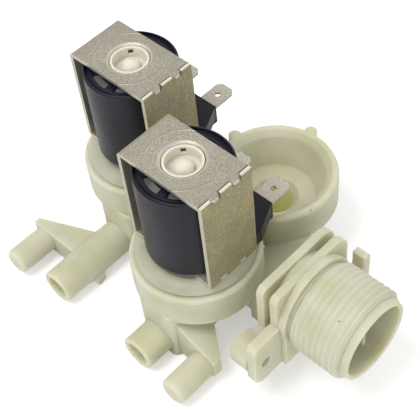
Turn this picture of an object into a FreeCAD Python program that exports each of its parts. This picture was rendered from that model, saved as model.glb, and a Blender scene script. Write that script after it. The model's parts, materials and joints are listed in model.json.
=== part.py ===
import FreeCAD, Part
import math
import os
import Sketcher
from FreeCAD import Placement, Rotation, Vector

# Double solenoid inlet valve of a washing machine. Millimetres, +Z up along the coils.
# Origin: centre of the threaded inlet's mouth. +X: out of the inlet.

doc = FreeCAD.newDocument("inlet_valve")
sheet = doc.addObject("Spreadsheet::Sheet", "sizes")


# Driving dimensions

driving = {
    "front_x": -52.3, "front_y": -8.7,
    "rear_x": -88.8, "rear_y": 7.9,
    "spare_x": -53.7, "spare_y": 25.3,

    "bowl_radius": 18.3, "rim_top": 2.1, "rim_round": 1.1, "rim_land": 1.8, "rim_fall": 1.8,
    "bore_radius": 14.7, "ledge_level": -1.8, "chamber_radius": 12.9,
    "floor_level": -7.0, "floor_wall": 1.5,
    "seat_radius": 5.8, "outlet_bore": 4.2,
    "spare_hole": 5.3, "spare_step": 12.3, "spare_step_level": -5.7, "spare_well": 11.7,
    "spare_floor": -8.7, "funnel_radius": 6.9, "funnel_depth": 2.0, "spare_hub": 13.0,
    "column_radius": 7.0, "foot_level": -26.0, "well_level": -24.6,
    "front_column_radius": 6.2, "front_foot_level": -25.95,
    "lug_radius": 1.9, "lug_left_turn": 171.0, "lug_right_turn": 96.0,

    "block_half": 7.0, "block_reach": 18.0, "block_low": -25.95, "block_round": 2.5,
    "nozzle_radius": 5.2, "nozzle_bore": 3.6, "nozzle_level": -20.5, "nozzle_end": -35.3, "nozzle_root": 5.4,
    "nozzle_reach": 8.3,
    "nozzle_round": 0.5, "front_nozzle_shift": 0.3, "rear_nozzle_shift": 2.7,
    "peg_radius": 4.0, "peg_end": -37.7, "peg_round": 1.3,
    "front_peg_x": -36.1, "rear_peg_x": -102.5,
    "arm_face": -25.2, "arm_low": -24.85, "arm_side": 0.35, "arm_top": -17.0, "arm_high": -11.6, "arm_bevel": 2.2,
    "front_arm_depth": 11.0, "rear_arm_depth": 11.0, "arm_lip": 1.9,
    "tab_thickness": 2.8, "tab_depth": 4.4, "tab_back": -21.6,

    "spigot_radius": 12.06, "spigot_length": 16.9, "collar_radius": 13.2, "collar_length": 2.3,
    "mouth_lead": 1.8, "mouth_radius": 11.4, "inlet_bore": 10.3, "mouth_bevel": 0.4, "bore_depth": 21.4,
    "plenum_radius": 9.3, "plenum_depth": 3.0,
    "plate_thickness": 2.2, "groove_width": 2.2, "hub_radius": 11.4,
    "plate_half": 14.1, "plate_top": 12.2, "plate_drop": 14.3, "plate_shift": 0.8,
    "plate_round": 5.0, "plate_nick": 2.0,
    "shoulder_half": 12.7, "shoulder_length": 2.3, "shoulder_drop": 15.9,
    "ear_left": -22.8, "ear_top": 0.8, "ear_thickness": 3.0, "ear_bevel": 2.2,
    "boss_radius": 5.0, "boss_y": -18.6, "boss_z": -8.4, "boss_length": 6.0,
    "screw_radius": 1.6, "screw_depth": 7.0,
    "hook_gap": 2.4, "hook_thickness": 2.6, "hook_width": 4.0, "hook_top": 1.9, "hook_link_top": -6.2,
    "hook_round": 1.2, "hook_curve": 4.0,

    "duct_half": 5.0, "duct_depth": 7.7, "duct_wall": 1.5, "duct_roof": 1.4,
    "duct_start_x": -30.0, "duct_start_y": 0.0, "duct_end_x": -82.0, "duct_end_y": 8.4,
    "throat_side": -5.7, "throat_far": 13.0, "deck_far": 21.5, "deck_edge": -37.0, "throat_left": -43.0,
    "sump_left": -35.9, "sump_low": -20.0,
    "branch_half": 4.6, "branch_end": 19.5,
    "port_radius": 1.8, "port_offset": 10.6, "spare_port_offset": 9.4,

    "flange_top": 4.8, "flange_radius": 16.6, "flange_flat": 13.2, "flange_edge": 2.7,
    "flange_round": 4.4, "skirt_radius": 14.4, "skirt_gap": 0.15, "bell_radius": 12.0, "bell_top": 3.2,
    "guide_radius": 5.2, "guide_bore": 4.25, "guide_roof": 1.4,
    "head_radius": 5.4, "head_drop": 0.4, "head_well": 3.3, "head_lip": 0.9, "head_bore": 4.7,
    "dome_radius": 2.7, "dome_rise": 1.5, "dome_wall": 1.1,
    "slot_width": 1.4, "slot_depth": 1.3, "slot_cover": 0.8, "key_radius": 1.2, "key_reach": 15.0, "key_height": 3.9,

    "rubber_rim": 1.2, "rubber_side": 0.3, "rubber_fit": 14.3, "rubber_web": 0.9, "rubber_hole": 2.6, "seat_gap": 0.05,
    "wave_start": 7.9, "wave_end": 11.7, "wave_rise": 0.6,
    "insert_radius": 7.4, "insert_disc": 1.0, "pilot_radius": 1.3, "pilot_height": 0.95,
    "pilot_bore": 0.5, "stem_radius": 2.3, "stem_length": 2.2,
    "plunger_radius": 4.15, "plunger_low": 2.2, "plunger_gap": 5.2,
    "seal_radius": 2.2, "seal_fit": 0.05, "seal_low": 1.05, "seal_top": 4.0,
    "spring_pocket": 2.9, "spring_pocket_depth": 6.0,
    "spring_radius": 2.3, "spring_wire": 0.3, "spring_turns": 7.0,

    "yoke_half": 14.6, "yoke_width": 17.5, "yoke_sheet": 1.2, "yoke_height": 32.5,
    "yoke_bend": 1.5, "yoke_hole": 5.6, "joint_gap": 0.05,
    "tab_middle": 4.2, "tab_side": 3.55, "tab_proud": 0.15, "stake_nick": 0.8, "hole_lip": 0.5,

    "coil_radius": 13.2, "shell_wall": 1.2, "shell_lift": 2.4, "shell_drop": 2.4, "shell_cap": 1.0,
    "ridge_rise": 0.7, "ridge_width": 0.7, "ridge_pitch": 1.6,
    "window_inner": 8.4, "window_outer": 10.7, "window_half": 19.0, "window_count": 7.0,
    "block_width": 20.6, "block_out": 20.0, "block_rise": 2.6, "lip_drop": 3.6, "lip_root": 16.8,
    "skirt_drop": 2.1, "skirt_half": 14.1, "skirt_start": 9.2, "skirt_turn": 11.5, "skirt_hollow": 13.2,
    "blade_width": 6.3, "blade_thickness": 0.8, "blade_centre": 7.05, "blade_lift": 1.95,
    "blade_root": 13.1, "blade_end": 28.4, "blade_hole": 0.9, "blade_hole_inset": 4.2,
    "blade_nip": 1.3, "blade_fit": 0.05,
    "bobbin_bore": 5.5, "bobbin_tube": 7.2, "bobbin_foot": 12.9, "bobbin_flange": 1.2,
    "bobbin_cap_radius": 11.8, "winding_radius": 11.4, "winding_gap": 0.05,
    "bush_radius": 6.3, "bush_bore": 5.5, "bush_height": 9.0, "bush_fit": 0.05,

    "carrier_radius": 10.2, "carrier_thickness": 3.0, "carrier_seat": 5.4, "carrier_web": 0.9,
    "carrier_port": 3.6, "washer_bore": 1.7, "washer_thickness": 1.9, "washer_fit": 0.1,
    "filter_rim": 10.2, "filter_front": 6.5, "filter_rim_depth": 1.2, "filter_mouth": 8.9,
    "filter_foot": 7.2, "filter_length": 10.5, "filter_wall": 0.8,
    "filter_window": 2.0, "filter_windows": 8.0, "filter_tab_width": 9.6, "filter_tab_height": 15.4,
}

for row, (alias, number) in enumerate(driving.items(), start=1):
    sheet.set(f"A{row}", alias.replace("_", " "))
    sheet.set(f"B{row}", str(number))
    sheet.setAlias(f"B{row}", alias)
doc.recompute()


# A size as a number together with the formula that gives it from the sheet

class Size:
    def __init__(self, number, formula):
        self.number = float(number)
        self.formula = formula

    def __add__(self, other):
        other = as_size(other)
        return Size(self.number + other.number, f"({self.formula} + {other.formula})")

    def __sub__(self, other):
        other = as_size(other)
        return Size(self.number - other.number, f"({self.formula} - {other.formula})")

    def __mul__(self, other):
        other = as_size(other)
        return Size(self.number * other.number, f"({self.formula} * {other.formula})")

    def __truediv__(self, other):
        other = as_size(other)
        return Size(self.number / other.number, f"({self.formula} / {other.formula})")

    def __neg__(self):
        return Size(-self.number, f"(0 - {self.formula})")

    def __rsub__(self, other):
        return as_size(other) - self

    __radd__ = __add__
    __rmul__ = __mul__


def as_size(value):
    if isinstance(value, Size):
        return value
    return Size(value, f"({value})")


class Sizes:
    def __getattr__(self, alias):
        return Size(sheet.get(alias), f"sizes.{alias}")


s = Sizes()


# Sketches and features

def bind(item, name, value):
    item.setExpression(name, as_size(value).formula)


def new_body(name):
    body = doc.addObject("PartDesign::Body", name)
    body.Label = name
    return body


# The sketch's own origin lies at the given x, y, z of the body
def sketch_on(body, name, plane, x=0, y=0, z=0, turn=0):
    sketch = body.newObject("Sketcher::SketchObject", name)
    base = [item for item in body.Origin.OriginFeatures if item.Role == plane + "_Plane"][0]
    sketch.AttachmentSupport = [(base, "")]
    sketch.MapMode = "FlatFace"
    along = {"XY": (x, y, z), "XZ": (x, z, -as_size(y)), "YZ": (y, z, x)}[plane]
    sketch.AttachmentOffset = Placement(Vector(0, 0, 0), Rotation(Vector(0, 0, 1), turn))
    for letter, value in zip("xyz", along):
        bind(sketch, f"AttachmentOffset.Base.{letter}", value)
    return sketch


def fix(sketch, kind, value, *places):
    number = sketch.addConstraint(Sketcher.Constraint(kind, *places, as_size(value).number))
    sketch.renameConstraint(number, f"k{number}")
    bind(sketch, f"Constraints.k{number}", value)


# Centre of the arc from one corner to the next; a positive radius keeps it on the left
def arc_centre(start, end, radius):
    middle = (start + end) / 2
    chord = end - start
    height = math.sqrt(max(radius ** 2 - (chord.Length / 2) ** 2, 0))
    left = Vector(-chord.y, chord.x, 0).normalize()
    return middle + left * math.copysign(height, radius)


# Closed outline through the corners. A corner with a third value starts an arc of that
# radius: positive turns left, negative turns right
def outline(sketch, corners):
    places = [Vector(as_size(c[0]).number, as_size(c[1]).number, 0) for c in corners]
    first = sketch.GeometryCount
    count = len(corners)
    ends = []
    for index, corner in enumerate(corners):
        start, end = places[index], places[(index + 1) % count]
        if len(corner) == 2:
            sketch.addGeometry(Part.LineSegment(start, end))
            ends.append((1, 2))
            continue
        radius = as_size(corner[2])
        centre = arc_centre(start, end, radius.number)
        circle = Part.Circle(centre, Vector(0, 0, 1), abs(radius.number))
        angles = [math.atan2(p.y - centre.y, p.x - centre.x) for p in (start, end)]
        if radius.number < 0:
            angles.reverse()
        sketch.addGeometry(Part.ArcOfCircle(circle, *angles))
        ends.append((1, 2) if radius.number > 0 else (2, 1))
    for index in range(count):
        after = (index + 1) % count
        join = (first + index, ends[index][1], first + after, ends[after][0])
        sketch.addConstraint(Sketcher.Constraint("Coincident", *join))
    for index, corner in enumerate(corners):
        place = (-1, 1, first + index, ends[index][0])
        fix(sketch, "DistanceX", corner[0], *place)
        fix(sketch, "DistanceY", corner[1], *place)
        if len(corner) == 3:
            radius = as_size(corner[2])
            fix(sketch, "Radius", radius if radius.number > 0 else -radius, first + index)
    return sketch


def rectangle(sketch, left, low, right, high):
    return outline(sketch, [(left, low), (right, low), (right, high), (left, high)])


def circle(sketch, radius, x=0, y=0):
    centre = Vector(as_size(x).number, as_size(y).number, 0)
    number = sketch.addGeometry(Part.Circle(centre, Vector(0, 0, 1), as_size(radius).number))
    fix(sketch, "DistanceX", x, -1, 1, number, 3)
    fix(sketch, "DistanceY", y, -1, 1, number, 3)
    fix(sketch, "Radius", radius, number)
    return sketch


# A pad grows along the sketch's normal: +Z on XY, -Y on XZ, +X on YZ. A pocket cuts the other way
def extrude(body, kind, name, sketch, length, reverse=False, symmetric=False):
    feature = body.newObject(f"PartDesign::{kind}", name)
    feature.Profile = sketch
    feature.Reversed = reverse
    if symmetric:
        feature.SideType = "Symmetric"
    bind(feature, "Length", length)
    return feature


def pad(body, name, sketch, length, reverse=False, symmetric=False):
    return extrude(body, "Pad", name, sketch, length, reverse, symmetric)


def pocket(body, name, sketch, length, reverse=False, symmetric=False):
    return extrude(body, "Pocket", name, sketch, length, reverse, symmetric)


def turned(body, kind, name, sketch, axis="V_Axis"):
    feature = body.newObject(f"PartDesign::{kind}", name)
    feature.Profile = sketch
    feature.ReferenceAxis = (sketch, [axis])
    feature.Angle = 360
    return feature


def repeated(body, name, feature, axis_sketch, count):
    doc.recompute()
    pattern = body.newObject("PartDesign::PolarPattern", name)
    pattern.Originals = [feature]
    pattern.Axis = (axis_sketch, ["N_Axis"])
    pattern.Angle = 360
    bind(pattern, "Occurrences", count)
    body.Tip = pattern
    return pattern


# Circular edges of the body's present shape that match the radius and lie at the place
def circle_edges(feature, radius, place):
    found = []
    for number, edge in enumerate(feature.Shape.Edges, start=1):
        curve = edge.Curve
        if isinstance(curve, Part.Circle) and abs(curve.Radius - radius) < 0.01:
            if (curve.Center - place).Length < 0.01:
                found.append(f"Edge{number}")
    return found


def fillet(body, name, edges_of, edges, radius):
    feature = body.newObject("PartDesign::Fillet", name)
    feature.Base = (edges_of, edges)
    bind(feature, "Radius", radius)
    return feature


# The two solenoid units and where each stands

units = {
    "front": {"x": s.front_x, "y": s.front_y, "nozzle": s.front_x + s.front_nozzle_shift},
    "rear": {"x": s.rear_x, "y": s.rear_y, "nozzle": s.rear_x + s.rear_nozzle_shift},
}


def stand_on(body, unit):
    bind(body, "Placement.Base.x", units[unit]["x"])
    bind(body, "Placement.Base.y", units[unit]["y"])
    return body


# Levels of one solenoid unit, counted from the cover's top and from the yoke that stands on it
yoke_low = s.flange_top
yoke_top = s.flange_top + s.yoke_height
yoke_inside = s.yoke_half - s.yoke_sheet
head_top = yoke_top - s.head_drop
well_floor = head_top - s.head_well
guide_ceiling = well_floor - s.guide_roof
plunger_top = guide_ceiling - s.plunger_gap
bobbin_low = yoke_low + s.yoke_sheet
bobbin_high = yoke_top - s.yoke_sheet
shell_low = yoke_low + s.shell_lift
shell_top = yoke_top - s.shell_drop
ridge_top = shell_top + s.ridge_rise
cap_low = shell_top - s.shell_cap
blade_level = shell_low + s.blade_lift
block_top = shell_low + s.block_rise
skirt_foot = shell_low - s.skirt_drop
lip_low = shell_low - s.lip_drop


# Valve body: one moulding with three bowls, the threaded inlet, the outlets and the lugs

floor_low = s.floor_level - s.floor_wall
seat_top = s.ledge_level - s.seat_gap * 2
plate_back = -(s.spigot_length + s.collar_length)
groove_front = plate_back - s.plate_thickness
groove_back = groove_front - s.groove_width
plates_rear = groove_back - s.plate_thickness
plate_right = s.plate_shift + s.plate_half
plate_left = s.plate_shift - s.plate_half


def add_bowl(body, name, x, y, column_radius, foot):
    wall = sketch_on(body, name + "_section", "XZ", x, y)
    outline(wall, [
        (0, floor_low),
        (s.bowl_radius, floor_low),
        (s.bowl_radius, s.rim_top - s.rim_round, s.rim_round),
        (s.bowl_radius - s.rim_round, s.rim_top),
        (0, s.rim_top),
    ])
    turned(body, "Revolution", name, wall)
    column = circle(sketch_on(body, name + "_column_ring", "XY", x, y, foot), column_radius)
    pad(body, name + "_column", column, floor_low - foot + s.floor_wall / 2)


def add_outlet(body, name, unit):
    x, y = units[unit]["nozzle"], units[unit]["y"]
    half, reach, corner = s.block_half, y - s.block_reach, s.block_round
    plan = sketch_on(body, name + "_block_plan", "XY", 0, 0, s.block_low)
    outline(plan, [
        (x + half, y),
        (x - half, y),
        (x - half, reach + corner, corner),
        (x - half + corner, reach),
        (x + half - corner, reach, corner),
        (x + half, reach + corner),
    ])
    pad(body, name + "_block", plan, floor_low - s.block_low + s.floor_wall / 2)
    stop = s.nozzle_end + s.nozzle_reach
    root = circle(sketch_on(body, name + "_root_ring", "XZ", x, reach + corner, s.nozzle_level), s.nozzle_root)
    pad(body, name + "_root", root, reach + corner - stop)
    ring = circle(sketch_on(body, name + "_ring", "XZ", x, stop, s.nozzle_level), s.nozzle_radius)
    nozzle = pad(body, name, ring, s.nozzle_reach)
    doc.recompute()
    mouth = Vector(x.number, s.nozzle_end.number, s.nozzle_level.number)
    fillet(body, name + "_lip", nozzle, circle_edges(nozzle, s.nozzle_radius.number, mouth), s.nozzle_round)


def add_peg(body, name, x, root):
    ring = circle(sketch_on(body, name + "_ring", "XZ", x, root, s.nozzle_level), s.peg_radius)
    peg = pad(body, name, ring, root - s.peg_end)
    doc.recompute()
    tip = Vector(x.number, s.peg_end.number, s.nozzle_level.number)
    fillet(body, name + "_nose", peg, circle_edges(peg, s.peg_radius.number, tip), s.peg_round)


# The front arm slopes from under the bowl down to its peg, and its back is cut off at a slant
def add_front_arm(body):
    inner, outer = units["front"]["nozzle"], s.front_peg_x + s.peg_radius + s.arm_side
    back = s.arm_face + s.front_arm_depth
    side = sketch_on(body, "front_arm_side", "XZ", 0, back)
    outline(side, [
        (inner, s.arm_low), (outer - s.arm_bevel, s.arm_low),
        (outer, s.arm_low + s.arm_bevel), (outer, s.arm_top),
        (inner + s.block_half, s.arm_high), (inner, s.arm_high),
    ])
    pad(body, "front_arm", side, s.front_arm_depth)
    slant = sketch_on(body, "front_arm_slant", "XY", 0, 0, s.arm_high)
    outline(slant, [
        (outer + 1, s.arm_face + s.arm_lip),
        (outer + 1, back + 1),
        (inner + s.block_half + 1, back + 1),
    ])
    pocket(body, "front_arm_back", slant, s.arm_high - s.arm_low)


def add_rear_arm(body):
    inner, outer = units["rear"]["nozzle"], s.rear_peg_x - s.peg_radius - s.arm_side
    plan = sketch_on(body, "rear_arm_plan", "XY", 0, 0, s.arm_low)
    outline(plan, [
        (outer, s.arm_face), (inner, s.arm_face),
        (inner, s.arm_face + s.rear_arm_depth), (outer, s.arm_face + s.arm_lip),
    ])
    pad(body, "rear_arm", plan, s.nozzle_level + s.peg_radius + s.arm_side - s.arm_low)


def add_tab(body):
    x = units["rear"]["nozzle"] + s.nozzle_radius + s.arm_side
    low, high = s.block_low, s.nozzle_level - s.nozzle_radius / 4
    profile = sketch_on(body, "tab_profile", "YZ", x - s.tab_thickness)
    outline(profile, [
        (s.tab_back - s.tab_depth, high - 0.8), (s.tab_back - s.tab_depth * 0.6, low),
        (s.tab_back - s.tab_depth * 0.35, low), (s.tab_back, low + 1), (s.tab_back, high),
    ])
    pad(body, "tab", profile, s.tab_thickness)


def add_spigot(body):
    profile = sketch_on(body, "spigot_profile", "XZ")
    outline(profile, [
        (plates_rear, 0),
        (s.mouth_lead, 0),
        (s.mouth_lead, s.mouth_radius),
        (0, s.spigot_radius),
        (-s.spigot_length, s.spigot_radius),
        (-s.spigot_length, s.collar_radius),
        (plate_back, s.collar_radius),
        (plate_back, s.hub_radius),
        (plates_rear, s.hub_radius),
    ])
    turned(body, "Revolution", "spigot", profile, "H_Axis")


def add_plate(body, name, x):
    left, right, top = plate_left, plate_right, s.plate_top
    face = sketch_on(body, name + "_face", "YZ", x)
    outline(face, [
        (left, -s.plate_drop), (right, -s.plate_drop),
        (right, top - s.plate_round, s.plate_round), (right - s.plate_round, top),
        (left + s.plate_nick, top, s.plate_nick), (left, top - s.plate_nick),
    ])
    pad(body, name, face, s.plate_thickness)


def add_shoulder(body):
    face = sketch_on(body, "shoulder_face", "YZ", plate_back)
    rectangle(face, -s.shoulder_half, -s.shoulder_drop, s.shoulder_half, 0)
    pad(body, "shoulder", face, s.shoulder_length)


# Screw ear beside the plates, with its boss behind it
def add_ear(body):
    low, bevel = -s.shoulder_drop, s.ear_bevel
    face = sketch_on(body, "ear_face", "YZ", groove_front)
    outline(face, [
        (s.ear_left + bevel, low), (-s.shoulder_half, low), (-s.shoulder_half, s.ear_top),
        (s.ear_left + bevel / 2, s.ear_top), (s.ear_left, s.ear_top - bevel / 2), (s.ear_left, low + bevel),
    ])
    pad(body, "ear", face, s.ear_thickness)
    start = groove_front - s.boss_length
    boss = pad(body, "boss", circle(sketch_on(body, "boss_ring", "YZ", start), s.boss_radius,
                                    s.boss_y, s.boss_z), s.boss_length)
    doc.recompute()
    back = Vector(start.number, s.boss_y.number, s.boss_z.number)
    fillet(body, "boss_round", boss, circle_edges(boss, s.boss_radius.number, back), s.peg_round)
    web = sketch_on(body, "boss_web_face", "YZ", plates_rear)
    rectangle(web, s.boss_y, s.boss_z - s.boss_radius / 2, plate_left + 1, s.boss_z + s.boss_radius * 0.9)
    pad(body, "boss_web", web, groove_front - plates_rear)


# Spring finger on the other side of the plates
def add_hook(body):
    inner = plate_right + s.hook_gap
    outer = inner + s.hook_thickness
    low, root = -s.plate_drop, s.collar_radius - 1.2
    finger = sketch_on(body, "hook_face", "YZ", plate_back)
    outline(finger, [
        (root, low), (outer, low), (outer, s.hook_top - s.hook_round, s.hook_round),
        (outer - s.hook_round, s.hook_top), (inner, s.hook_top),
        (inner, s.hook_link_top + s.hook_curve, -s.hook_curve), (inner - s.hook_curve, s.hook_link_top),
        (root, s.hook_link_top),
    ])
    pad(body, "hook", finger, s.hook_width)


def add_ducts(body):
    low, roof = floor_low - s.duct_depth, floor_low + s.floor_wall / 2
    throat = sketch_on(body, "throat_plan", "XY", 0, 0, low)
    outline(throat, [
        (s.throat_left, s.throat_side), (groove_front, s.throat_side), (groove_front, s.throat_far),
        (plates_rear, s.throat_far), (s.deck_edge, s.deck_far), (s.throat_left, s.deck_far),
    ])
    pad(body, "throat", throat, roof - low)
    sump = sketch_on(body, "sump_plan", "XY", 0, 0, s.sump_low)
    rectangle(sump, s.sump_left, s.throat_side, groove_front, s.throat_far)
    pad(body, "sump", sump, roof - s.sump_low)
    add_duct_run(body, "duct", "Pad", s.duct_half, low, roof, 0)
    branch = sketch_on(body, "branch_plan", "XY", 0, 0, low)
    rectangle(branch, s.spare_x - s.branch_half, s.duct_start_y, s.spare_x + s.branch_half, s.branch_end)
    pad(body, "branch", branch, roof - low)


# Straight run from the throat to the rear bowl, used once for its walls and once for its bore
def add_duct_run(body, name, kind, half, low, high, inset):
    x0, y0, x1, y1 = s.duct_start_x, s.duct_start_y, s.duct_end_x + inset, s.duct_end_y
    plan = sketch_on(body, name + "_plan", "XY", 0, 0, low if kind == "Pad" else high)
    outline(plan, [(x0, y0 - half), (x0, y0 + half), (x1, y1 + half), (x1, y1 - half)])
    extrude(body, kind, name, plan, high - low)


# The spare chamber is deeper than the two bowls, so a wide hub stands under it
def add_spare_hub(body):
    low = s.spare_floor - s.funnel_depth - s.floor_wall
    ring = circle(sketch_on(body, "spare_hub_ring", "XY", s.spare_x, s.spare_y, low), s.spare_hub)
    pad(body, "spare_hub", ring, floor_low - low + s.floor_wall / 2)


def add_spare_lugs(body):
    for name, angle in (("lug_left", s.lug_left_turn), ("lug_right", s.lug_right_turn)):
        turn = math.radians(angle.number)
        x = s.spare_x + s.bowl_radius * math.cos(turn)
        y = s.spare_y + s.bowl_radius * math.sin(turn)
        ring = circle(sketch_on(body, name + "_ring", "XY", x, y, floor_low), s.lug_radius)
        pad(body, name, ring, s.rim_top - floor_low)


def cut_bowl(body, name, x, y):
    land = s.bowl_radius - s.rim_land
    section = sketch_on(body, name + "_cut", "XZ", x, y)
    outline(section, [
        (0, s.well_level), (s.outlet_bore, s.well_level),
        (s.outlet_bore, seat_top), (s.seat_radius, seat_top), (s.seat_radius, s.floor_level),
        (s.chamber_radius, s.floor_level), (s.chamber_radius, s.ledge_level),
        (s.bore_radius, s.ledge_level), (s.bore_radius, s.rim_top - s.rim_fall),
        (land, s.rim_top), (land, s.rim_top + 1), (0, s.rim_top + 1),
    ])
    turned(body, "Groove", name + "_chamber", section)


def cut_spare(body):
    land = s.bowl_radius - s.rim_land
    section = sketch_on(body, "spare_cut", "XZ", s.spare_x, s.spare_y)
    outline(section, [
        (0, s.well_level), (s.spare_hole, s.well_level),
        (s.spare_hole, s.spare_floor - s.funnel_depth), (s.funnel_radius, s.spare_floor),
        (s.spare_well, s.spare_floor), (s.spare_step, s.spare_step_level),
        (s.bore_radius, s.rim_top - s.rim_fall),
        (land, s.rim_top), (land, s.rim_top + 1), (0, s.rim_top + 1),
    ])
    turned(body, "Groove", "spare_chamber", section)


def cut_outlet(body, name, unit):
    x, y = units[unit]["nozzle"], units[unit]["y"]
    ring = circle(sketch_on(body, name + "_bore_ring", "XZ", x, s.nozzle_end, s.nozzle_level), s.nozzle_bore)
    pocket(body, name + "_bore", ring, y - s.nozzle_end)


def cut_inlet(body):
    depth, mouth, bevel = -s.bore_depth, s.mouth_lead, s.mouth_bevel
    profile = sketch_on(body, "inlet_cut", "XZ")
    outline(profile, [
        (depth - s.plenum_depth, 0), (mouth + 1, 0), (mouth + 1, s.inlet_bore + bevel),
        (mouth, s.inlet_bore + bevel), (mouth - bevel, s.inlet_bore),
        (depth, s.inlet_bore), (depth, s.plenum_radius), (depth - s.plenum_depth, s.plenum_radius),
    ])
    turned(body, "Groove", "inlet_bore", profile, "H_Axis")


def cut_ducts(body):
    wall, roof = s.duct_wall, floor_low - s.duct_roof / 2
    low = floor_low - s.duct_depth + wall
    throat = sketch_on(body, "throat_bore_plan", "XY", 0, 0, roof)
    rectangle(throat, s.throat_left + wall, s.throat_side + wall, groove_front - 0.2, s.throat_far - wall)
    pocket(body, "throat_bore", throat, roof - low)
    sump = sketch_on(body, "sump_bore_plan", "XY", 0, 0, roof)
    rectangle(sump, s.sump_left + wall, s.throat_side + wall, groove_front - 0.2, s.throat_far - wall)
    pocket(body, "sump_bore", sump, roof - s.sump_low - wall)
    drop = sketch_on(body, "drop_plan", "XY", 0, 0, -s.plenum_radius / 2)
    rectangle(drop, -(s.bore_depth + s.plenum_depth), s.throat_side + wall, -s.bore_depth, -s.throat_side - wall)
    pocket(body, "drop", drop, -s.plenum_radius / 2 - s.sump_low - wall)
    add_duct_run(body, "duct_bore", "Pocket", s.duct_half - wall, low, roof, wall)
    branch = sketch_on(body, "branch_bore_plan", "XY", 0, 0, roof)
    rectangle(branch, s.spare_x - s.branch_half + wall, s.duct_start_y + s.duct_half,
              s.spare_x + s.branch_half - wall, s.branch_end - wall)
    pocket(body, "branch_bore", branch, roof - low)
    ports = {
        "front_port": (s.front_x + 1.5, s.front_y + s.port_offset),
        "rear_port": (s.rear_x + s.port_offset, s.rear_y),
        "spare_port": (s.spare_x, s.spare_y - s.spare_port_offset),
    }
    for name, (x, y) in ports.items():
        ring = circle(sketch_on(body, name + "_ring", "XY", x, y, s.floor_level + 0.2), s.port_radius)
        pocket(body, name, ring, s.floor_level + 0.2 - roof + 0.2)


def cut_screw(body):
    face = groove_front + s.ear_thickness
    ring = circle(sketch_on(body, "screw_ring", "YZ", face), s.screw_radius, s.boss_y, s.boss_z)
    pocket(body, "screw_hole", ring, s.screw_depth)


def make_valve_body():
    body = new_body("valve_body")
    add_bowl(body, "front_bowl", s.front_x, s.front_y, s.front_column_radius, s.front_foot_level)
    add_bowl(body, "rear_bowl", s.rear_x, s.rear_y, s.column_radius, s.foot_level)
    add_bowl(body, "spare_bowl", s.spare_x, s.spare_y, s.column_radius, s.foot_level)
    add_spare_hub(body)
    add_spare_lugs(body)
    add_ducts(body)
    add_outlet(body, "front_outlet", "front")
    add_outlet(body, "rear_outlet", "rear")
    add_front_arm(body)
    add_rear_arm(body)
    add_peg(body, "front_peg", s.front_peg_x, s.arm_face + s.arm_lip / 2)
    add_peg(body, "rear_peg", s.rear_peg_x, s.arm_face + s.arm_lip / 2)
    add_tab(body)
    add_spigot(body)
    add_plate(body, "rear_plate", plates_rear)
    add_plate(body, "front_plate", groove_front)
    add_shoulder(body)
    add_ear(body)
    add_hook(body)
    cut_bowl(body, "front_bowl", s.front_x, s.front_y)
    cut_bowl(body, "rear_bowl", s.rear_x, s.rear_y)
    cut_spare(body)
    cut_outlet(body, "front_outlet", "front")
    cut_outlet(body, "rear_outlet", "rear")
    cut_inlet(body)
    cut_ducts(body)
    cut_screw(body)
    return body


# Guide tube: round cover on the bowl with the plunger's tube and its snap head

def make_guide_tube(unit):
    body = new_body(unit + "_guide_tube")
    skirt_low = s.ledge_level + s.rubber_rim
    cone_low = s.rim_top - s.rim_fall - (s.bore_radius - s.skirt_radius) + s.skirt_gap
    cone_high = cone_low + s.flange_radius - s.skirt_radius
    floor = well_floor
    dome_round = (s.dome_radius * s.dome_radius + s.dome_rise * s.dome_rise) / (s.dome_rise * 2)
    half = sketch_on(body, unit + "_guide_section", "XZ")
    outline(half, [
        (0, guide_ceiling), (s.guide_bore, guide_ceiling), (s.guide_bore, s.bell_top),
        (s.bell_radius, s.bell_top), (s.bell_radius, skirt_low), (s.skirt_radius, skirt_low),
        (s.skirt_radius, cone_low), (s.flange_radius, cone_high),
        (s.flange_radius, s.flange_edge, s.flange_round),
        (s.flange_flat, s.flange_top), (s.guide_radius, s.flange_top),
        (s.guide_radius, head_top - s.head_lip * 1.5),
        (s.head_radius, head_top - s.head_lip), (s.head_radius, head_top),
        (s.head_bore, head_top), (s.head_bore, floor),
        (s.dome_radius, floor), (s.dome_radius, floor + s.dome_wall, dome_round),
        (0, floor + s.dome_wall + s.dome_rise),
    ])
    turned(body, "Revolution", unit + "_guide", half)
    slots = sketch_on(body, unit + "_guide_slots", "XY", 0, 0, head_top - s.slot_cover, turn=45)
    inner, outer, wide = s.head_bore - 0.1, s.head_radius + 0.1, s.slot_width / 2
    rectangle(slots, inner, -wide, outer, wide)
    rectangle(slots, -outer, -wide, -inner, wide)
    rectangle(slots, -wide, inner, wide, outer)
    rectangle(slots, -wide, -outer, wide, -inner)
    pocket(body, unit + "_guide_slot", slots, s.slot_depth)
    key = circle(sketch_on(body, unit + "_key_ring", "XY", s.key_reach, 0, s.bell_top - 1), s.key_radius)
    pad(body, unit + "_key", key, s.key_height - s.bell_top + 1)
    return stand_on(body, unit)


# Diaphragm: rubber disc with a thick clamped rim and one soft fold

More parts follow.
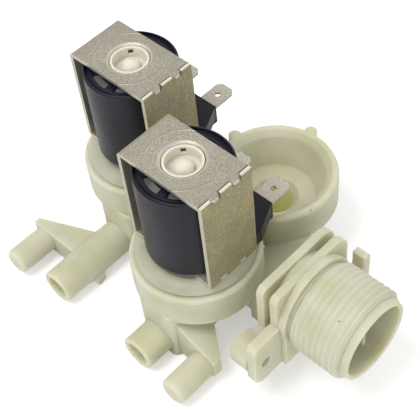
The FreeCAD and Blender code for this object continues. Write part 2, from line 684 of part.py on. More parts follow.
def make_diaphragm(unit):
    body = new_body(unit + "_diaphragm")
    low = seat_top + s.seat_gap
    high = low + s.rubber_web
    fold = (s.wave_end - s.wave_start) / 4
    half = sketch_on(body, unit + "_diaphragm_section", "XZ")
    outline(half, [
        (s.rubber_hole, low), (s.wave_start, low), (s.wave_start + fold, low + s.wave_rise),
        (s.wave_end - fold, low + s.wave_rise), (s.wave_end, low),
        (s.chamber_radius - s.rubber_side, low), (s.chamber_radius - s.rubber_side, s.ledge_level), (s.rubber_fit, s.ledge_level),
        (s.rubber_fit, s.ledge_level + s.rubber_rim), (s.bell_radius + 0.2, s.ledge_level + s.rubber_rim),
        (s.bell_radius + 0.2, high), (s.wave_end, high), (s.wave_end - fold, high + s.wave_rise),
        (s.wave_start + fold, high + s.wave_rise), (s.wave_start, high), (s.rubber_hole, high),
    ])
    turned(body, "Revolution", unit + "_membrane", half)
    return stand_on(body, unit)


# Diaphragm insert: disc on the rubber with the pilot jet above and a stem below

def make_insert(unit):
    body = new_body(unit + "_diaphragm_insert")
    seat = seat_top + s.seat_gap + s.rubber_web
    disc = seat + s.insert_disc
    half = sketch_on(body, unit + "_insert_section", "XZ")
    outline(half, [
        (s.pilot_bore, seat - s.stem_length), (s.stem_radius, seat - s.stem_length),
        (s.stem_radius, seat), (s.insert_radius, seat), (s.insert_radius, disc),
        (s.pilot_radius + 0.6, disc), (s.pilot_radius, disc + s.pilot_height),
        (s.pilot_bore, disc + s.pilot_height),
    ])
    turned(body, "Revolution", unit + "_insert", half)
    return stand_on(body, unit)


# Plunger: steel core with a pocket for the seal below and one for the spring above

def make_plunger(unit):
    body = new_body(unit + "_plunger")
    bevel = 0.5
    pocket_floor = plunger_top - s.spring_pocket_depth
    half = sketch_on(body, unit + "_plunger_section", "XZ")
    outline(half, [
        (0, s.seal_top), (s.seal_radius + s.seal_fit, s.seal_top), (s.seal_radius + s.seal_fit, s.plunger_low),
        (s.plunger_radius - bevel, s.plunger_low), (s.plunger_radius, s.plunger_low + bevel),
        (s.plunger_radius, plunger_top - bevel), (s.plunger_radius - bevel, plunger_top),
        (s.spring_pocket, plunger_top), (s.spring_pocket, pocket_floor), (0, pocket_floor),
    ])
    turned(body, "Revolution", unit + "_core", half)
    return stand_on(body, unit)


def make_seal(unit):
    body = new_body(unit + "_plunger_seal")
    ring = circle(sketch_on(body, unit + "_seal_ring", "XY", 0, 0, s.seal_low), s.seal_radius)
    pad(body, unit + "_seal", ring, s.seal_top - s.seal_low)
    return stand_on(body, unit)


# Return spring between the plunger's pocket and the closed end of its tube. Six flats stand for
# the round of its thin wire
def make_spring(unit):
    wire = s.spring_wire.number
    low = plunger_top.number - s.spring_pocket_depth.number + wire
    height = guide_ceiling.number - wire - low
    helix = Part.makeHelix(height / s.spring_turns.number, height, s.spring_radius.number)
    angles = [math.radians(60 * corner) for corner in range(7)]
    coil = s.spring_radius.number
    section = Part.makePolygon([
        Vector(coil + wire * math.cos(angle), 0, wire * math.sin(angle)) for angle in angles
    ])
    shape = Part.Wire(helix).makePipeShell([section], True, True)
    spring = doc.addObject("Part::Feature", unit + "_plunger_spring")
    spring.Label = unit + "_plunger_spring"
    spring.Shape = shape
    bind(spring, "Placement.Base.z", plunger_top - s.spring_pocket_depth + s.spring_wire)
    return stand_on(spring, unit)


# Yoke: folded strip with a side plate staked into its notches

def make_yoke_frame(unit):
    body = new_body(unit + "_yoke_frame")
    half, sheet_t, bend = s.yoke_half, s.yoke_sheet, s.yoke_bend
    inner_bend = bend - sheet_t
    strip = sketch_on(body, unit + "_strip", "XZ")
    outline(strip, [
        (half, yoke_top), (bend - half, yoke_top, bend),
        (-half, yoke_top - bend), (-half, yoke_low + bend, bend),
        (bend - half, yoke_low), (half, yoke_low), (half, yoke_low + sheet_t),
        (bend - half, yoke_low + sheet_t, -inner_bend),
        (-yoke_inside, yoke_low + bend), (-yoke_inside, yoke_top - bend, -inner_bend),
        (bend - half, yoke_top - sheet_t), (half, yoke_top - sheet_t),
    ])
    pad(body, unit + "_yoke_strip", strip, s.yoke_width, symmetric=True)
    lip = s.yoke_hole + s.hole_lip
    hole = sketch_on(body, unit + "_hole_section", "XZ")
    outline(hole, [
        (0, yoke_low - 1), (s.yoke_hole, yoke_low - 1), (s.yoke_hole, yoke_top - s.hole_lip),
        (lip, yoke_top), (lip, yoke_top + 1), (0, yoke_top + 1),
    ])
    turned(body, "Groove", unit + "_yoke_hole", hole)
    notches = sketch_on(body, unit + "_notches", "XY", 0, 0, yoke_top + 1)
    edge, middle, nick = s.yoke_width / 2, s.tab_middle / 2, s.stake_nick
    side, far = edge - s.tab_side, half + 1
    outline(notches, [
        (yoke_inside, -middle), (half - nick, -middle), (half, -middle - nick), (far, -middle - nick),
        (far, middle + nick), (half, middle + nick), (half - nick, middle), (yoke_inside, middle),
    ])
    for sign in (-1, 1):
        outline(notches, [
            (yoke_inside, side * sign), (half - nick, side * sign), (half, (side - nick) * sign),
            (far, (side - nick) * sign), (far, (edge + 1) * sign), (yoke_inside, (edge + 1) * sign),
        ])
    pocket(body, unit + "_yoke_notches", notches, s.yoke_height + 2)
    return stand_on(body, unit)


def make_side_plate(unit):
    body = new_body(unit + "_yoke_side_plate")
    gap, edge = s.joint_gap, s.yoke_width / 2
    middle, side = s.tab_middle / 2 - gap, edge - s.tab_side + gap
    low, high = yoke_low, yoke_top + s.tab_proud
    step_low, step_high = yoke_low + s.yoke_sheet + gap, yoke_top - s.yoke_sheet - gap
    face = sketch_on(body, unit + "_side_face", "YZ", yoke_inside)
    outline(face, [
        (-edge, low), (-side, low), (-side, step_low), (-middle, step_low), (-middle, low),
        (middle, low), (middle, step_low), (side, step_low), (side, low), (edge, low),
        (edge, high), (side, high), (side, step_high), (middle, step_high), (middle, high),
        (-middle, high), (-middle, step_high), (-side, step_high), (-side, high), (-edge, high),
    ])
    pad(body, unit + "_side_plate", face, s.yoke_sheet)
    return stand_on(body, unit)


# Coil: bobbin, winding, moulded shell with its terminal block, blades and flux bush

def make_bobbin(unit):
    body = new_body(unit + "_coil_bobbin")
    cap_under = cap_low - s.bobbin_flange
    bush_seat = s.bush_radius + s.bush_fit
    bush_top = bobbin_low + s.bush_height + s.bush_fit
    half = sketch_on(body, unit + "_bobbin_section", "XZ")
    outline(half, [
        (bush_seat, bobbin_low), (s.bobbin_foot, bobbin_low), (s.bobbin_foot, shell_low),
        (s.bobbin_tube, shell_low), (s.bobbin_tube, cap_under),
        (s.bobbin_cap_radius, cap_under), (s.bobbin_cap_radius, cap_low),
        (s.bobbin_tube, cap_low), (s.bobbin_tube, bobbin_high), (s.bobbin_bore, bobbin_high),
        (s.bobbin_bore, bush_top), (bush_seat, bush_top),
    ])
    turned(body, "Revolution", unit + "_bobbin", half)
    return stand_on(body, unit)


def make_winding(unit):
    body = new_body(unit + "_coil_winding")
    inner = s.bobbin_tube + s.winding_gap
    low, high = shell_low + s.winding_gap, cap_low - s.bobbin_flange - s.winding_gap
    half = sketch_on(body, unit + "_winding_section", "XZ")
    rectangle(half, inner, low, s.winding_radius, high)
    turned(body, "Revolution", unit + "_winding", half)
    return stand_on(body, unit)


def make_shell(unit):
    body = new_body(unit + "_coil_shell")
    outer, ridge, pitch = s.coil_radius, s.ridge_width, s.ridge_pitch
    groove = shell_top - s.shell_cap / 2
    half = sketch_on(body, unit + "_shell_section", "XZ")
    outline(half, [
        (0, shell_low), (outer, shell_low), (outer, ridge_top - 0.4), (outer - 0.4, ridge_top),
        (outer - ridge, ridge_top), (outer - ridge, groove), (outer - pitch, groove),
        (outer - pitch, shell_top), (0, shell_top),
    ])
    turned(body, "Revolution", unit + "_shell", half)
    add_terminal_block(body, unit)
    cavity = sketch_on(body, unit + "_cavity_section", "XZ")
    outline(cavity, [
        (0, shell_low - 1), (outer - s.shell_wall, shell_low - 1), (outer - s.shell_wall, cap_low),
        (s.bobbin_tube + s.winding_gap, cap_low), (s.bobbin_tube + s.winding_gap, shell_top + 1),
        (0, shell_top + 1),
    ])
    turned(body, "Groove", unit + "_cavity", cavity)
    add_windows(body, unit)
    slots = sketch_on(body, unit + "_blade_slots", "XZ", 0, s.blade_root - s.blade_fit)
    for side_x in (-s.blade_centre, s.blade_centre):
        wide, thick = s.blade_width / 2 + s.blade_fit, s.blade_thickness / 2 + s.blade_fit
        rectangle(slots, side_x - wide, blade_level - thick, side_x + wide, blade_level + thick)
    pocket(body, unit + "_blade_slot", slots, s.block_out)
    return stand_on(body, unit)


# Block that holds the blades: it widens to a skirt at the coil and has a lip at its front
def add_terminal_block(body, unit):
    half, low = s.block_width / 2, skirt_foot
    root = sketch_on(body, unit + "_block_plan", "XY", 0, 0, shell_low)
    rectangle(root, -half, s.bobbin_tube, half, s.skirt_turn)
    pad(body, unit + "_block", root, block_top - shell_low)
    skirt = sketch_on(body, unit + "_skirt_plan", "XY", 0, 0, low)
    outline(skirt, [
        (-s.skirt_half, s.skirt_start), (s.skirt_half, s.skirt_start), (s.skirt_half, s.skirt_turn),
        (half, s.block_out - 0.5), (half, s.block_out), (-half, s.block_out),
        (-half, s.block_out - 0.5), (-s.skirt_half, s.skirt_turn),
    ])
    pad(body, unit + "_skirt", skirt, block_top - low)
    lip = sketch_on(body, unit + "_lip_side", "YZ")
    outline(lip, [
        (s.lip_root, low), (s.lip_root + 1, lip_low), (s.block_out, lip_low), (s.block_out, low),
    ])
    pad(body, unit + "_lip", lip, s.block_width, symmetric=True)
    hollow = circle(sketch_on(body, unit + "_skirt_ring", "XY", 0, 0, shell_low), s.skirt_hollow)
    pocket(body, unit + "_skirt_hollow", hollow, shell_low - low)


# Openings in the shell's top that show the bobbin below
def add_windows(body, unit):
    turn = math.radians(s.window_half.number)
    near, far = s.window_inner, s.window_outer
    window = sketch_on(body, unit + "_window", "XY", 0, 0, shell_top)
    outline(window, [
        (near * math.cos(turn), near * -math.sin(turn)), (far * math.cos(turn), far * -math.sin(turn), far),
        (far * math.cos(turn), far * math.sin(turn)), (near * math.cos(turn), near * math.sin(turn), -near),
    ])
    cut = pocket(body, unit + "_window_cut", window, s.shell_cap)
    repeated(body, unit + "_windows", cut, window, s.window_count)


def make_terminal(unit, side, centre):
    body = new_body(f"{unit}_terminal_{side}")
    wide, nip, level = s.blade_width / 2, s.blade_nip, blade_level - s.blade_thickness / 2
    blade = sketch_on(body, f"{unit}_{side}_blade", "XY", centre, 0, level)
    outline(blade, [
        (-wide, s.blade_root), (wide, s.blade_root), (wide, s.blade_end - nip),
        (wide - nip, s.blade_end), (nip - wide, s.blade_end), (-wide, s.blade_end - nip),
    ])
    circle(blade, s.blade_hole, 0, s.blade_end - s.blade_hole_inset)
    pad(body, f"{unit}_{side}_terminal", blade, s.blade_thickness)
    return stand_on(body, unit)


def make_bush(unit):
    body = new_body(unit + "_flux_bush")
    half = sketch_on(body, unit + "_bush_section", "XZ")
    rectangle(half, s.bush_bore, bobbin_low, s.bush_radius, bobbin_low + s.bush_height)
    turned(body, "Revolution", unit + "_bush", half)
    return stand_on(body, unit)


# Inlet: strainer with a pull tab and the flow regulator behind it, turned about the inlet's axis

def make_carrier():
    body = new_body("flow_regulator_carrier")
    back = -s.bore_depth
    front = back + s.carrier_thickness
    half = sketch_on(body, "carrier_section", "XZ")
    outline(half, [
        (back, s.carrier_port), (back + s.carrier_web, s.carrier_port),
        (back + s.carrier_web, s.carrier_seat), (front, s.carrier_seat),
        (front, s.carrier_radius), (back, s.carrier_radius),
    ])
    turned(body, "Revolution", "carrier", half, "H_Axis")
    return body


def make_washer():
    body = new_body("flow_regulator_washer")
    back = s.carrier_web - s.bore_depth
    half = sketch_on(body, "washer_section", "XZ")
    outline(half, [
        (back, s.washer_bore), (back + s.washer_thickness, s.washer_bore + 0.6),
        (back + s.washer_thickness, s.carrier_seat - s.washer_fit), (back, s.carrier_seat - s.washer_fit),
    ])
    turned(body, "Revolution", "washer", half, "H_Axis")
    return body


def make_filter():
    body = new_body("inlet_filter")
    front = -s.filter_front
    rear = front - s.filter_length
    wall = s.filter_wall
    half = sketch_on(body, "filter_section", "XZ")
    outline(half, [
        (front, s.filter_mouth), (front, s.filter_rim), (front - s.filter_rim_depth, s.filter_rim),
        (front - s.filter_rim_depth, s.filter_mouth + wall), (rear, s.filter_foot + wall), (rear, 0),
        (rear + wall, 0), (rear + wall, s.filter_foot),
        (front - s.filter_rim_depth, s.filter_mouth),
    ])
    turned(body, "Revolution", "filter", half, "H_Axis")
    window = sketch_on(body, "filter_window", "XZ", 0, 0)
    rectangle(window, rear + wall * 3, -s.filter_window / 2, front - s.filter_rim_depth - wall * 2,
              s.filter_window / 2)
    cut = pocket(body, "filter_window_cut", window, s.filter_rim + 1)
    axis = sketch_on(body, "filter_axis", "YZ")
    circle(axis, s.filter_rim)
    repeated(body, "filter_windows", cut, axis, s.filter_windows)
    tab = sketch_on(body, "filter_tab_face", "XZ")
    rectangle(tab, rear + wall / 2, -s.filter_tab_width / 2, rear + s.filter_tab_height, s.filter_tab_width / 2)
    pad(body, "filter_tab", tab, s.filter_wall, symmetric=True)
    return body


def make_unit(unit):
    return [
        make_guide_tube(unit), make_diaphragm(unit), make_insert(unit), make_plunger(unit),
        make_seal(unit), make_spring(unit), make_yoke_frame(unit), make_side_plate(unit),
        make_bobbin(unit), make_winding(unit), make_shell(unit), make_bush(unit),
        make_terminal(unit, "left", -s.blade_centre), make_terminal(unit, "right", s.blade_centre),
    ]


subparts = [make_valve_body(), make_filter(), make_carrier(), make_washer()]
for unit in units:
    subparts += make_unit(unit)
doc.recompute()

for item in doc.Objects:
    if "Invalid" in item.State or "Error" in item.State:
        raise SystemExit(f"{item.Name} failed: {item.State}")
for item in subparts:
    if item.Shape.isNull() or not item.Shape.isValid() or len(item.Shape.Solids) != 1:
        raise SystemExit(f"{item.Label} has no single valid solid")

os.makedirs("parts", exist_ok=True)
for item in subparts:
    item.Shape.exportStep(f"parts/{item.Label}.step")
    print(f"{item.Label}: {item.Shape.Volume:.1f} mm3")
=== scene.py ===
import json
import math

import bpy
import numpy as np
from mathutils import Matrix, Vector


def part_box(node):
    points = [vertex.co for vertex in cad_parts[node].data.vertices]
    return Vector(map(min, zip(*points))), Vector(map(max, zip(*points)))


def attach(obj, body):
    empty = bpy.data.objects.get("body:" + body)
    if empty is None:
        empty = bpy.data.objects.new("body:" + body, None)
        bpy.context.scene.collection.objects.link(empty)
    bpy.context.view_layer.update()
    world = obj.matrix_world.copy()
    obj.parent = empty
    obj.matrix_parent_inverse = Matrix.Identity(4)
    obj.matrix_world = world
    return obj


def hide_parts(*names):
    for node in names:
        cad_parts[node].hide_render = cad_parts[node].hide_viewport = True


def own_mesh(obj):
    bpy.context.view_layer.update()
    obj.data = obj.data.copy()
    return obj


# Sizes are in metres, and colours are display values from 0 to 255

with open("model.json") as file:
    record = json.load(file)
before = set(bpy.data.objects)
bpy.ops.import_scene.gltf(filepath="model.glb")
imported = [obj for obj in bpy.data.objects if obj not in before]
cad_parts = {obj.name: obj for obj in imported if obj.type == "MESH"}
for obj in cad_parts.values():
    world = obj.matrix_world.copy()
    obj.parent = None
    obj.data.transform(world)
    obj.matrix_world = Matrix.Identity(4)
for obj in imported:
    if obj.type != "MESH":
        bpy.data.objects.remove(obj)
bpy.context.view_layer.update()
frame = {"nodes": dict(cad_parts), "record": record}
print("frame loaded")

scene = bpy.context.scene
scene.view_settings.view_transform = "Standard"

# Axis of each solenoid unit, worked out from its flux bush
unitAxis = {}
for unitName in ("front", "rear"):
    lowCorner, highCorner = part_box(unitName + "_flux_bush")
    unitAxis[unitName] = ((lowCorner.x + highCorner.x) / 2, (lowCorner.y + highCorner.y) / 2)


# Node helpers

# One material and the nodes that are added to it and linked
class Shader:

    def __init__(self, name):
        self.material = bpy.data.materials.new(name)
        self.material.use_nodes = True
        self.tree = self.material.node_tree
        self.principled = self.tree.nodes["Principled BSDF"]
        self.place = self.add("ShaderNodeTexCoord").outputs["Object"]

    def add(self, kind, **properties):
        node = self.tree.nodes.new(kind)
        for key, value in properties.items():
            setattr(node, key, value)
        return node

    def put(self, socket, value):
        if isinstance(value, bpy.types.NodeSocket):
            self.tree.links.new(value, socket)
        else:
            socket.default_value = value

    def noise(self, scale, detail=3.0, roughness=0.5, distortion=0.0):
        node = self.add("ShaderNodeTexNoise")
        self.put(node.inputs["Vector"], self.place)
        node.inputs["Scale"].default_value = scale
        node.inputs["Detail"].default_value = detail
        node.inputs["Roughness"].default_value = roughness
        node.inputs["Distortion"].default_value = distortion
        return node.outputs["Fac"]

    # Soft step of a value from one number to another as it goes from low to high
    def between(self, value, low, high, toLow=0.0, toHigh=1.0):
        node = self.add("ShaderNodeMapRange", interpolation_type="SMOOTHSTEP")
        for socket, number in zip(node.inputs[:5], (value, low, high, toLow, toHigh)):
            self.put(socket, number)
        return node.outputs["Result"]

    def mix(self, amount, first, second):
        node = self.add("ShaderNodeMix", data_type="RGBA")
        self.put(node.inputs["Factor"], amount)
        self.put(node.inputs["A"], first)
        self.put(node.inputs["B"], second)
        return node.outputs["Result"]

    # Two values put together by a math node
    def combine(self, first, second, operation="ADD"):
        node = self.add("ShaderNodeMath", operation=operation)
        self.put(node.inputs[0], first)
        self.put(node.inputs[1], second)
        return node.outputs["Value"]

    def times(self, first, second):
        return self.combine(first, second, "MULTIPLY")

    def scaled(self, value, factor, plus):
        return self.combine(self.times(value, factor), plus)

    def larger(self, first, second):
        return self.combine(first, second, "MAXIMUM")

    # How far a value is from a middle one, either way
    def away(self, value, middle):
        return self.combine(self.combine(value, middle, "SUBTRACT"), 0.0, "ABSOLUTE")

    # Distance from an upright axis through x and y, or from a point when a height is given
    def distance(self, x, y, z=None):
        split = self.add("ShaderNodeVectorMath", operation="SUBTRACT")
        self.put(split.inputs[0], self.place)
        split.inputs[1].default_value = (x, y, z or 0.0)
        flat = self.add("ShaderNodeVectorMath", operation="MULTIPLY")
        self.put(flat.inputs[0], split.outputs["Vector"])
        flat.inputs[1].default_value = (1, 1, 0 if z is None else 1)
        length = self.add("ShaderNodeVectorMath", operation="LENGTH")
        self.put(length.inputs[0], flat.outputs["Vector"])
        return length.outputs["Value"]

    def along(self, axis):
        node = self.add("ShaderNodeSeparateXYZ")
        self.put(node.inputs[0], self.place)
        return node.outputs[axis]

    # One within half a width of a middle value and nought outside it, with a short fade
    def band(self, value, middle, half, fade=0.00006):
        return self.between(self.away(value, middle), half - fade, half, 1.0, 0.0)

    def bump(self, value, strength, distance, under=None):
        node = self.add("ShaderNodeBump")
        self.put(node.inputs["Height"], value)
        node.inputs["Strength"].default_value = strength
        node.inputs["Distance"].default_value = distance
        if under is not None:
            self.put(node.inputs["Normal"], under)
        return node.outputs["Normal"]

    # Normal that rounds the edges by a small radius, for the light only
    def softEdge(self, radius):
        node = self.add("ShaderNodeBevel", samples=6)
        node.inputs["Radius"].default_value = radius
        return node.outputs["Normal"]

    # Puts values into the shader's sockets, whose names have _ for a space here
    def finish(self, **sockets):
        for name, value in sockets.items():
            self.put(self.principled.inputs[name.replace("_", " ")], value)
        return self.material


# Linear colour of an eight-bit display colour
def tone(red, green, blue):
    def linear(value):
        value = value / 255
        return value / 12.92 if value <= 0.04045 else ((value + 0.055) / 1.055) ** 2.4
    return (linear(red), linear(green), linear(blue), 1.0)


# Materials of the nylon mouldings

nylonLook = {
    "light": (208, 206, 184),
    "deep": (197, 196, 166),
    "head": (224, 221, 206),
    "headLevel": 0.024,
    "headFade": 0.001,
    # The covers' tones: their own nylon, darkened as painted shade
    "coverShaded": (190, 189, 169),
    "coverDeepShaded": (177, 177, 154),
    "wellPaintedLight": (234, 232, 192),
    "wellAxis": (-0.0537, 0.0253),
    "wellRadius": (0.0052, 0.0062),
    "wellLevel": (-0.0098, -0.0112),
    "cloud": 85.0,
    "grain": 2600.0,
    "grainDepth": 0.00012,
    "flow": 260.0,
    "flowDepth": 0.0004,
    "edge": 0.00045,
    "rough": (0.36, 0.5),
    "glow": 0.9,
    "glowReach": (1.0, 0.95, 0.7),
    "scatter": 0.0042,
    "threadScatter": 0.0007,
    "guideScatter": 0.0007,
    "ior": 1.5,
    "shine": 0.45,
    "dirt": (112, 104, 78),
    "dirtShare": 0.8,
    "dirtFade": 1.7,
    "specks": [  # x, y, z and radius
        (-0.00458, -0.00676, 0.0111, 0.00022),
        (-0.03656, 0.02065, 0.00194, 0.0002),
        (-0.06762, -0.01848, 0.00149, 0.00026),
    ],
}


# Clouded nylon with a fine grain and a few dirt specks. On the body the spare well is painted lighter
# and warmer as painted light; on the guide tubes the snap heads get painted light over the covers'
# tone.
def nylonMaterial(name, light, deep, scatter, paintedWellLight=False):
    look = nylonLook
    shader = Shader(name)
    cloud = shader.between(shader.noise(look["cloud"], 2.0), 0.35, 0.68)
    colour = shader.mix(cloud, tone(*light), tone(*deep))
    if paintedWellLight:
        # Painted light: the inside of the spare well below a level is painted lighter and warmer
        near = shader.between(shader.distance(*look["wellAxis"]), *look["wellRadius"], 1.0, 0.0)
        under = shader.between(shader.along("Z"), *look["wellLevel"])
        colour = shader.mix(shader.times(near, under), colour, tone(*look["wellPaintedLight"]))
    else:
        # Painted light: above this level the snap heads are painted lighter
        level = look["headLevel"]
        head = shader.between(shader.along("Z"), level, level + look["headFade"])
        colour = shader.mix(head, colour, tone(*look["head"]))
    for x, y, z, size in look["specks"]:
        away = shader.distance(x, y, z)
        speck = shader.between(away, size, size * look["dirtFade"], look["dirtShare"], 0.0)
        colour = shader.mix(speck, colour, tone(*look["dirt"]))
    grain = shader.noise(look["grain"], 2.0, 0.6)
    flow = shader.noise(look["flow"], 3.0, 0.55)
    normal = shader.bump(flow, 0.25, look["flowDepth"], shader.softEdge(look["edge"]))
    normal = shader.bump(grain, 0.22, look["grainDepth"], normal)
    rough = shader.between(grain, 0.3, 0.7, *look["rough"])
    shader.finish(Base_Color=colour, Roughness=rough, Normal=normal)
    principled = shader.principled.inputs
    principled["Subsurface Weight"].default_value = look["glow"]
    principled["Subsurface Radius"].default_value = look["glowReach"]
    principled["Subsurface Scale"].default_value = scatter
    principled["IOR"].default_value = look["ior"]
    principled["Specular IOR Level"].default_value = look["shine"]
    return shader.material


# Materials of the steel sheet

steelLook = {
    "dull": (158, 153, 138),
    "bright": (194, 189, 173),
    "warm": (166, 158, 140),
    "warmShare": 0.55,
    "paintedGlint": (240, 237, 226),
    # Painted highlight on the rim of the hole
    "rim": (222, 217, 202),
    "rimHighlightShare": 0.6,
    "rimHighlightReach": (0.0001, 0.0005),
    "cut": (236, 232, 214),
    "cutShare": 0.85,
    "cutFade": 0.0001,
    "patch": 110.0,
    "fine": 2100.0,
    "fineDepth": 0.0001,
    "glint": 2900.0,
    "glintReach": (0.0055, 0.0165),
    "holeRadius": 0.0060,
    "ringRadius": 0.0099,
    "ringWidth": 0.00035,
    "ringDepth": 0.00022,
    "arcGap": 0.0011,
    "arcReach": (0.0085, 0.0125),
    "arcDepth": 0.00006,
    "edge": 0.0003,
    "rough": (0.36, 0.5),
    "metal": 0.6,
}


# Painted highlight on the bare cut edges of the strip: its two long sides and the ends of the tongues
# beside the plate's tabs
def yokeCutHighlights(shader, unit):
    low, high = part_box(unit + "_yoke_frame")
    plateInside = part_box(unit + "_yoke_side_plate")[0].x
    sides = shader.band(shader.along("Y"), (low.y + high.y) / 2, (high.y - low.y) / 2)
    fade = steelLook["cutFade"]
    tongues = shader.between(shader.along("X"), plateInside, plateInside + fade)
    below = shader.between(shader.along("Z"), high.z - fade, high.z - fade / 2, 1.0, 0.0)
    return shader.larger(shader.scaled(sides, -0.5, 0.5), shader.times(tongues, below))


# Zinc on the strip: dull and bright grains in warm patches, painted glints near the hole, a painted
# highlight on the rim of the hole and on the cut edges, and round it a pressed ring and faint turning
# arcs
def yokeSteelMaterial(name, unit):
    look = steelLook
    shader = Shader(name)
    radius = shader.distance(*unitAxis[unit])
    patch = shader.between(shader.noise(look["patch"], 3.0), 0.32, 0.68)
    fine = shader.between(shader.noise(look["fine"], 3.0, 0.65), 0.34, 0.68)
    glint = shader.between(shader.noise(look["glint"], 1.0, 0.5), 0.56, 0.68)
    around = shader.between(radius, *look["glintReach"], 1.0, 0.0)
    colour = shader.mix(fine, tone(*look["dull"]), tone(*look["bright"]))
    colour = shader.mix(shader.times(patch, look["warmShare"]), colour, tone(*look["warm"]))
    # Painted glints: bright specks near the hole that stand in for reflections
    glint = shader.times(glint, shader.times(shader.scaled(patch, -0.5, 0.75), around))
    colour = shader.mix(glint, colour, tone(*look["paintedGlint"]))
    # Painted highlight: a bright ring just outside the edge of the hole
    rimStart, rimEnd = (look["holeRadius"] + reach for reach in look["rimHighlightReach"])
    rim = shader.between(radius, rimStart, rimEnd, 1.0, 0.0)
    colour = shader.mix(shader.times(rim, look["rimHighlightShare"]), colour, tone(*look["rim"]))
    # Painted highlight on the bare cut edges
    cuts = shader.times(yokeCutHighlights(shader, unit), look["cutShare"])
    colour = shader.mix(cuts, colour, tone(*look["cut"]))
    ring = shader.between(shader.away(radius, look["ringRadius"]), 0.0, look["ringWidth"], 1.0, 0.0)
    arcs = shader.combine(shader.times(radius, 2 * math.pi / look["arcGap"]), 0.0, "SINE")
    near = shader.between(radius, *look["arcReach"], 1.0, 0.0)
    normal = shader.softEdge(look["edge"])
    normal = shader.bump(ring, 0.6, look["ringDepth"], normal)
    normal = shader.bump(shader.times(arcs, near), 0.25, look["arcDepth"], normal)
    normal = shader.bump(fine, 0.35, look["fineDepth"], normal)
    rough = shader.between(patch, 0.0, 1.0, *look["rough"])
    return shader.finish(Base_Color=colour, Roughness=rough, Normal=normal, Metallic=look["metal"])


passivatedLook = {
    "grey": (150, 144, 124),
    "yellow": (170, 164, 116),
    "rust": (188, 158, 94),
    "rustShare": 0.6,
    "pale": (212, 208, 186),
    "paleShare": 0.75,
    "dark": (112, 106, 86),
    "darkShare": 0.7,
    "cut": (232, 228, 204),
    # Painted shade in the gaps round the tabs
    "gap": (46, 43, 38),
    "gapHalf": 0.0002,
    "gapReach": 0.0003,
    "gapDepth": 0.0002,
    "tabMiddle": 0.0021,
    "tabSide": 0.00355,
    "blotch": 130.0,
    "fleck": 2000.0,
    "pit": 1250.0,
    "spot": 95.0,
    "depth": 0.00012,
    "edge": 0.00025,
    "rough": (0.42, 0.56),
    "metal": 0.3,
}


# Painted highlight on the bare cut edges of the plate: its two upright sides and the tops of its tabs
def plateCutHighlights(shader, unit):
    low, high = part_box(unit + "_yoke_side_plate")
    sides = shader.band(shader.along("Y"), (low.y + high.y) / 2, (high.y - low.y) / 2)
    tops = shader.band(shader.along("Z"), (low.z + high.z) / 2, (high.z - low.z) / 2)
    return shader.larger(shader.scaled(sides, -0.5, 0.5), shader.scaled(tops, -0.9, 0.9))


# Painted shade: a dark line where the tabs sit in the notches of the strip
def tabGapShade(shader, unit):
    look = passivatedLook
    low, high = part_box(unit + "_yoke_side_plate")
    depth = look["gapDepth"]
    top = shader.between(shader.along("Z"), high.z - depth, high.z - depth / 2)
    inside = shader.band(shader.along("X"), low.x, look["gapReach"])
    across = shader.away(shader.along("Y"), (low.y + high.y) / 2)
    middle = shader.band(across, look["tabMiddle"], look["gapHalf"])
    side = shader.band(across, look["tabSide"], look["gapHalf"])
    return shader.times(top, shader.larger(inside, shader.larger(middle, side)))


# Yellow passivated steel of the side plates: blotches, spots of rust, pale flecks and dark pits
def passivatedMaterial(name, unit):
    look = passivatedLook
    shader = Shader(name)
    blotch = shader.between(shader.noise(look["blotch"], 6.0, 0.7, 0.5), 0.34, 0.7)
    fleck = shader.between(shader.noise(look["fleck"], 3.0, 0.7), 0.54, 0.68)
    pit = shader.between(shader.noise(look["pit"], 3.0, 0.7, 0.4), 0.4, 0.3)
    spot = shader.between(shader.noise(look["spot"], 2.0), 0.6, 0.7)
    colour = shader.mix(blotch, tone(*look["grey"]), tone(*look["yellow"]))
    for share, kind in ((spot, "rust"), (fleck, "pale"), (pit, "dark")):
        colour = shader.mix(shader.times(share, look[kind + "Share"]), colour, tone(*look[kind]))
    # Painted highlight on the bare cut edges
    colour = shader.mix(plateCutHighlights(shader, unit), colour, tone(*look["cut"]))
    # Painted shade in the tab gaps
    colour = shader.mix(tabGapShade(shader, unit), colour, tone(*look["gap"]))
    relief = shader.combine(fleck, pit, "SUBTRACT")
    normal = shader.bump(relief, 0.45, look["depth"], shader.softEdge(look["edge"]))
    rough = shader.between(blotch, 0.0, 1.0, *look["rough"])
    return shader.finish(Base_Color=colour, Roughness=rough, Normal=normal, Metallic=look["metal"])


# Plain finishes: two tones in clouds, a grain with its bump, a range of roughness and a share of metal

grainDepth = 0.0001

